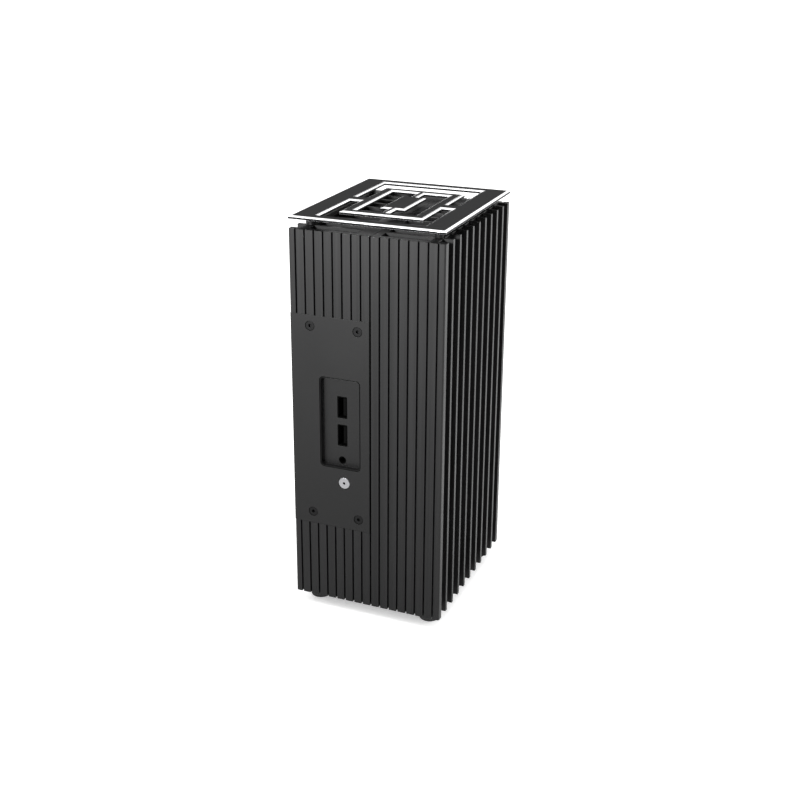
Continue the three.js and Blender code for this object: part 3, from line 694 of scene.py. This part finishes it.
class MINIPC_OT_panels(bpy.types.Operator):
    """Finish the two smooth panels that hold the sockets"""

    bl_idname = "mini_pc.panels"
    bl_label = "Socket panels"

    def execute(self, context):
        front = copy_node("front_io_panel", "front_io_panel_finished")
        self.close_seams(front)
        self.cut_insert_seam(front)
        rear = copy_node("rear_io_panel", "rear_io_panel_finished")
        for panel, node in ((front, "front_io_panel"), (rear, "rear_io_panel")):
            break_edges(panel, sizes().panel_edge)
            paint(panel, material("milled_anodised"))
            finish_piece(panel, CASE, "black_anodised", node)
        return {"FINISHED"}

    def close_seams(self, panel):
        """Stretch the panel up and down until it all but touches the ribs."""
        middle = (PANEL_TOP + PANEL_FOOT) / 2 * MM
        height = (PANEL_TOP - PANEL_FOOT) * MM
        reach = height / 2 - 0.1 * MM
        select_where(panel, "VERT", lambda vertex: abs(vertex.co.z - middle) > reach)
        bpy.ops.transform.resize(
            value=(1, 1, 1 + 2 * sizes().panel_growth / height),
            center_override=(0, 0, middle),
        )
        bpy.ops.object.mode_set(mode="OBJECT")

    def cut_insert_seam(self, panel):
        """Groove the panel's face around the recess, where the socket insert is let in."""
        cutter = self.seam_ring()
        apply_modifier(panel, "BOOLEAN", object=cutter, operation="DIFFERENCE", solver="EXACT")
        bpy.data.objects.remove(cutter)

    def seam_ring(self):
        width = (RECESS_RIGHT - RECESS_LEFT + 2 * SEAM_OFFSET) * MM
        height = (RECESS_TOP - RECESS_FOOT + 2 * SEAM_OFFSET) * MM
        place = Vector(
            ((RECESS_LEFT + RECESS_RIGHT) / 2, FRONT_FACE, (RECESS_FOOT + RECESS_TOP) / 2)
        )
        bpy.ops.object.select_all(action="DESELECT")
        bpy.ops.mesh.primitive_plane_add(
            size=1, location=place * MM, rotation=(math.pi / 2, 0, 0)
        )
        ring = bpy.context.active_object
        ring.scale = (width, height, 1)
        bpy.ops.object.transform_apply(location=True, rotation=True, scale=True)
        bpy.ops.object.mode_set(mode="EDIT")
        bpy.ops.mesh.select_all(action="SELECT")
        bpy.ops.mesh.bevel(
            offset=(RECESS_CORNER + SEAM_OFFSET) * MM, segments=6, affect="VERTICES"
        )
        bpy.ops.mesh.inset(thickness=SEAM_WIDTH * MM)
        bpy.ops.mesh.delete(type="FACE")
        bpy.ops.mesh.select_all(action="SELECT")
        bpy.ops.transform.translate(value=(0, -SEAM_DEPTH * MM, 0))
        bpy.ops.mesh.extrude_region_move(
            TRANSFORM_OT_translate={"value": (0, 2 * SEAM_DEPTH * MM, 0)}
        )
        bpy.ops.mesh.select_all(action="SELECT")
        bpy.ops.mesh.normals_make_consistent(inside=False)
        bpy.ops.object.mode_set(mode="OBJECT")
        return ring


class MINIPC_OT_fasteners(bpy.types.Operator):
    """Finish the screws and the standoffs"""

    bl_idname = "mini_pc.fasteners"
    bl_label = "Screws and standoffs"

    def execute(self, context):
        dark = nodes_named(
            "front_screw", "rear_screw", "core_screw", "foot_screw", "top_standoff"
        )
        bright = nodes_named("board_screw", "drive_screw", "bracket_screw")
        for node in dark:
            refined(node, sizes().screw_edge, material("black_steel"), "black_steel")
        for node in bright:
            refined(node, sizes().screw_edge, material("bright_steel"), "bright_steel")
        return {"FINISHED"}


class MINIPC_OT_feet(bpy.types.Operator):
    """Finish the rubber feet"""

    bl_idname = "mini_pc.feet"
    bl_label = "Feet"

    def execute(self, context):
        for node in nodes_named("foot_front", "foot_rear"):
            refined(node, 2 * sizes().screw_edge, material("foot_rubber"), "foot_rubber")
        return {"FINISHED"}


class MINIPC_OT_button(bpy.types.Operator):
    """Finish the power button and the switch behind it"""

    bl_idname = "mini_pc.button"
    bl_label = "Power button"

    def execute(self, context):
        edge = sizes().socket_edge
        self.cap(edge)
        refined("switch_plunger", edge, material("bright_steel"), "bright_steel", BUTTON)
        refined("button_retainer", edge, material("black_plastic"), "black_plastic")
        refined("power_switch", edge, material("black_plastic"), "black_plastic")
        return {"FINISHED"}

    def cap(self, edge):
        """The button's cap; the faces of the light hole in the middle of its face take the
        near-black sheet, painted shade for the dark inside the hole.
        """
        cap = copy_node("power_button", "power_button_finished")
        paint(cap, material("button_silver"))
        # Second slot, the near-black sheet: painted shade for the inside of the light hole.
        cap.data.materials.append(material("painted_shade_sheet"))
        middle = Vector((BUTTON_X, 0, BUTTON_Z)) * MM
        front = (BUTTON_FACE + 0.05) * MM
        behind = (BUTTON_FACE + LIGHT_DEPTH) * MM

        def in_light_hole(face):
            away = face.center - middle
            near_axis = math.hypot(away.x, away.z) < LIGHT_HOLE * MM
            return near_axis and front < face.center.y < behind

        select_where(cap, "FACE", in_light_hole)
        # Painted shade: the light hole's faces get the near-black slot.
        cap.active_material_index = 1
        bpy.ops.object.material_slot_assign()
        bpy.ops.transform.resize(value=(HOLE_GROWTH, 1, HOLE_GROWTH), center_override=middle)
        bpy.ops.object.mode_set(mode="OBJECT")
        break_edges(cap, edge)
        finish_piece(cap, BUTTON, "button_silver", "power_button")


class MINIPC_OT_sockets(bpy.types.Operator):
    """Finish the front and rear sockets"""

    bl_idname = "mini_pc.sockets"
    bl_label = "Sockets"

    def execute(self, context):
        edge = sizes().socket_edge
        # Painted shade: the front USB shells and tongues take the near-black sheet so that their
        # openings read dark.
        for node in nodes_named("front_usb"):
            refined(node, edge, material("painted_shade_sheet"), "socket_steel")
        for node in ("rear_usb_stack", "lan_socket", "display_socket", "usb_c_socket"):
            refined(node, edge, material("socket_steel"), "socket_steel")
        # Painted shade: the audio jack takes the near-black sheet so that its opening reads
        # dark.
        refined("audio_jack", edge, material("painted_shade_sheet"), "black_plastic")
        refined("dc_socket", edge, material("black_plastic"), "black_plastic")
        return {"FINISHED"}


class MINIPC_OT_board(bpy.types.Operator):
    """Finish the mainboard, its chips and the cooling block"""

    bl_idname = "mini_pc.board"
    bl_label = "Mainboard"

    def execute(self, context):
        edge = sizes().board_edge
        refined("mainboard", edge, material("circuit_board"), "circuit_board")
        refined("processor", edge, material("chip_package"), "chip_package")
        refined("heat_spreader", 4 * edge, material("spreader_copper"), "spreader_copper")
        refined("coin_cell", 3 * edge, material("bright_steel"), "socket_steel")
        for node in ("memory_socket", "ssd_socket"):
            refined(node, edge, material("black_plastic"), "black_plastic")
        for node in ("memory_module", "ssd_module"):
            refined(node, edge, material("circuit_board"), "circuit_board")
        return {"FINISHED"}


class MINIPC_OT_drive(bpy.types.Operator):
    """Finish the storage drive, its bracket and its lead"""

    bl_idname = "mini_pc.drive"
    bl_label = "Storage drive"

    def execute(self, context):
        edge = sizes().board_edge
        refined("drive_bracket", edge, material("black_steel"), "black_steel")
        refined("storage_drive", 4 * edge, material("drive_case"), "drive_case")
        refined("drive_lead", edge, material("black_plastic"), "black_plastic")
        return {"FINISHED"}


class MINIPC_OT_components(bpy.types.Operator):
    """Add the chips, chokes, capacitors and header that stand on the boards"""

    bl_idname = "mini_pc.components"
    bl_label = "Board components"

    def execute(self, context):
        edge = sizes().board_edge
        for place, y in enumerate(MEMORY_CHIP_YS, 1):
            self.chip(f"memory_chip_{place}", MEMORY_FACE, y, MEMORY_Z, 10.5, 9)
        for place, y in enumerate(SSD_CHIP_YS, 1):
            self.chip(f"ssd_chip_{place}", SSD_FACE, y, SSD_Z, 13, 17)
        self.chip("ssd_controller", SSD_FACE, 5.5, SSD_Z, 9, 9)
        self.chip("board_controller", BOARD_FACE, 26, 92, 10, 10)
        for place, y in enumerate(CHOKE_YS, 1):
            low = (BOARD_FACE - CHOKE_HEIGHT, y - CHOKE_HALF, CHOKE_FOOT)
            high = (BOARD_FACE, y + CHOKE_HALF, CHOKE_FOOT + 2 * CHOKE_HALF)
            choke = block(f"choke_{place}", low, high, 0.8, -0.25)
            break_edges(choke, 5 * edge, 3)
            paint(choke, material("black_plastic"))
            finish_piece(choke, CASE, "black_plastic")
            self.capacitor(f"capacitor_{place}", y, CAN_Z)
        self.header(HEADER_Y, HEADER_Z)
        return {"FINISHED"}

    def chip(self, name, face, y, z, width, height):
        low = (face - CHIP_THICK, y - width / 2, z - height / 2)
        high = (face, y + width / 2, z + height / 2)
        chip = block(name, low, high, 0.5, 0.05)
        break_edges(chip, sizes().board_edge)
        paint(chip, material("chip_package"))
        finish_piece(chip, CASE, "chip_package")

    def capacitor(self, name, y, z):
        """A polymer capacitor: a sleeve with a crimped, dished top on a square foot."""
        foot = block(
            f"{name}_foot",
            (BOARD_FACE - 0.8, y - CAN_RADIUS, z - CAN_RADIUS),
            (BOARD_FACE, y + CAN_RADIUS, z + CAN_RADIUS),
        )
        break_edges(foot, 2 * sizes().board_edge)
        paint(foot, material("black_plastic"))
        finish_piece(foot, CASE, "black_plastic")
        bpy.ops.object.select_all(action="DESELECT")
        bpy.ops.mesh.primitive_cylinder_add(
            vertices=32,
            radius=(CAN_RADIUS - 0.1) * MM,
            depth=CAN_HEIGHT * MM,
            location=Vector((BOARD_FACE - 0.7 - CAN_HEIGHT / 2, y, z)) * MM,
            rotation=(0, math.pi / 2, 0),
        )
        can = bpy.context.active_object
        can.name = name
        bpy.ops.object.transform_apply(location=True, rotation=True, scale=True)
        select_where(can, "FACE", lambda face: face.normal.x < -0.9)
        bpy.ops.mesh.inset(thickness=0.5 * MM)
        bpy.ops.mesh.extrude_region_move(TRANSFORM_OT_translate={"value": (0.3 * MM, 0, 0)})
        bpy.ops.object.mode_set(mode="OBJECT")
        break_edges(can, 2 * sizes().board_edge)
        paint(can, material("drive_case"))
        finish_piece(can, CASE, "socket_steel")

    def header(self, y, z):
        """A pin header of two rows, for leads to the front sockets."""
        base = block(
            "pin_header",
            (BOARD_FACE - 2.5, y - PIN_PITCH, z - 2.5 * PIN_PITCH),
            (BOARD_FACE, y + PIN_PITCH, z + 2.5 * PIN_PITCH),
        )
        break_edges(base, sizes().board_edge)
        paint(base, material("black_plastic"))
        finish_piece(base, CASE, "black_plastic")
        pins = []
        for column in (-0.5, 0.5):
            for row in range(-2, 3):
                pin_y = y + column * PIN_PITCH
                pin_z = z + row * PIN_PITCH
                low = (BOARD_FACE - PIN_LENGTH, pin_y - PIN_HALF, pin_z - PIN_HALF)
                high = (BOARD_FACE, pin_y + PIN_HALF, pin_z + PIN_HALF)
                pins.append(block("header_pins", low, high, 0.12, -0.3))
        pick(pins[0])
        for pin in pins:
            pin.select_set(True)
        bpy.ops.object.join()
        shade(pins[0])
        paint(pins[0], material("gold_contact"))
        finish_piece(pins[0], CASE, "socket_steel")


OPERATORS = (
    MINIPC_OT_stage,
    MINIPC_OT_housings,
    MINIPC_OT_top_plate,
    MINIPC_OT_panels,
    MINIPC_OT_fasteners,
    MINIPC_OT_feet,
    MINIPC_OT_button,
    MINIPC_OT_sockets,
    MINIPC_OT_board,
    MINIPC_OT_drive,
    MINIPC_OT_components,
)


class MINIPC_PT_sidebar(bpy.types.Panel):
    """Sidebar list of the steps that build the mini PC"""

    bl_idname = "MINIPC_PT_sidebar"
    bl_label = "Mini PC"
    bl_space_type = "VIEW_3D"
    bl_region_type = "UI"
    bl_category = "Mini PC"

    def draw(self, context):
        for operator in OPERATORS:
            self.layout.operator(operator.bl_idname)


SETTINGS = {
    "mini_pc_sizes": MiniPcSizes,
    "mini_pc_colours": MiniPcColours,
    "mini_pc_stage": MiniPcStage,
}


def register():
    for settings in SETTINGS.values():
        bpy.utils.register_class(settings)
    for operator in OPERATORS:
        bpy.utils.register_class(operator)
    bpy.utils.register_class(MINIPC_PT_sidebar)
    for name, settings in SETTINGS.items():
        setattr(bpy.types.Scene, name, bpy.props.PointerProperty(type=settings))


def unregister():
    for name in SETTINGS:
        delattr(bpy.types.Scene, name)
    bpy.utils.unregister_class(MINIPC_PT_sidebar)
    for operator in reversed(OPERATORS):
        bpy.utils.unregister_class(operator)
    for settings in SETTINGS.values():
        bpy.utils.unregister_class(settings)


def main():
    register()
    for operator in OPERATORS:
        group, name = operator.bl_idname.split(".")
        getattr(getattr(bpy.ops, group), name)()


if __name__ == "__main__":
    main()
